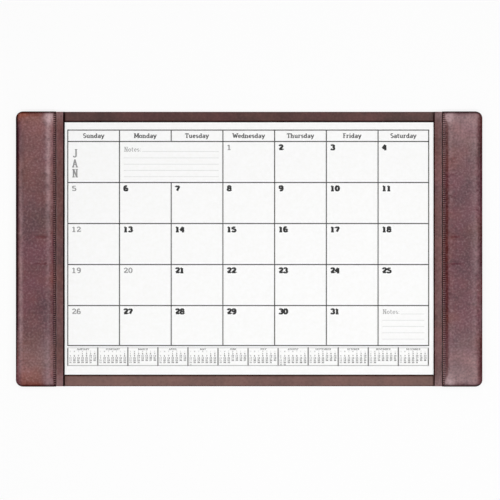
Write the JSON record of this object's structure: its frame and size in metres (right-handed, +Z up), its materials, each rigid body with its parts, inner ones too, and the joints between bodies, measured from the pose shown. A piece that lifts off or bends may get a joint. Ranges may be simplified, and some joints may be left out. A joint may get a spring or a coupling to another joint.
{
  "type": "desk pad",
  "caption": "Leather desk pad with padded side rails; lifting flaps on the rails hold a tear-off monthly calendar that slides out along the pockets.",
  "frame": {"origin": "centre of the felt underside, on the desk", "axes": "+X to the right along the pad's width, +Y away from the person at the desk, +Z up"},
  "size_m": [0.864, 0.51, 0.019],
  "materials": {
    "rail_leather": "satin, fine grain",
    "base_leather": "satin, fine grain",
    "flap_leather": "satin, fine grain",
    "thread": "twisted thread",
    "foam": "matte",
    "hardboard": "matte",
    "greyboard": "matte",
    "backing_card": "matte, dark",
    "felt": "matte",
    "paper": "matte",
    "gum": "satin, dark"
  },
  "bodies": {
    "base": {"core_board": "hardboard", "base_leather": "base_leather", "felt_backing": "felt", "left_spacer": "greyboard", "left_rail_board": "greyboard", "left_rail_foam": "foam", "left_rail_cover": "rail_leather", "left_seam_thread": "thread", "right_spacer": "greyboard", "right_rail_board": "greyboard", "right_rail_foam": "foam", "right_rail_cover": "rail_leather", "right_seam_thread": "thread"},
    "left_flap": {"left_flap_leather": "flap_leather", "left_flap_stiffener": "greyboard"},
    "right_flap": {"right_flap_leather": "flap_leather", "right_flap_stiffener": "greyboard"},
    "calendar": {"calendar_backing": "backing_card", "calendar_gum": "gum", "february_sheet": "paper", "march_sheet": "paper", "april_sheet": "paper", "may_sheet": "paper", "june_sheet": "paper", "july_sheet": "paper", "august_sheet": "paper", "september_sheet": "paper", "october_sheet": "paper", "november_sheet": "paper", "december_sheet": "paper"},
    "top_sheet": {"january_sheet": "paper"}
  },
  "joints": [
    {"name": "left_flap_lift", "type": "hinge", "parent": "base", "child": "left_flap", "pos_m": [-0.35685, 0, 0.00959], "axis": [0, -1, 0], "range_deg": [0, 60], "stiffness_Nm_per_rad": 0.02},
    {"name": "right_flap_lift", "type": "hinge", "parent": "base", "child": "right_flap", "pos_m": [0.35685, 0, 0.00959], "axis": [0, 1, 0], "range_deg": [0, 60], "stiffness_Nm_per_rad": 0.02},
    {"name": "calendar_slide", "type": "slide", "parent": "base", "child": "calendar", "axis": [0, 1, 0], "range_m": [-0.495, 0.495]},
    {"name": "top_sheet_pull", "type": "slide", "parent": "calendar", "child": "top_sheet", "axis": [0, -1, 0], "range_m": [0, 0.495]}
  ]
}
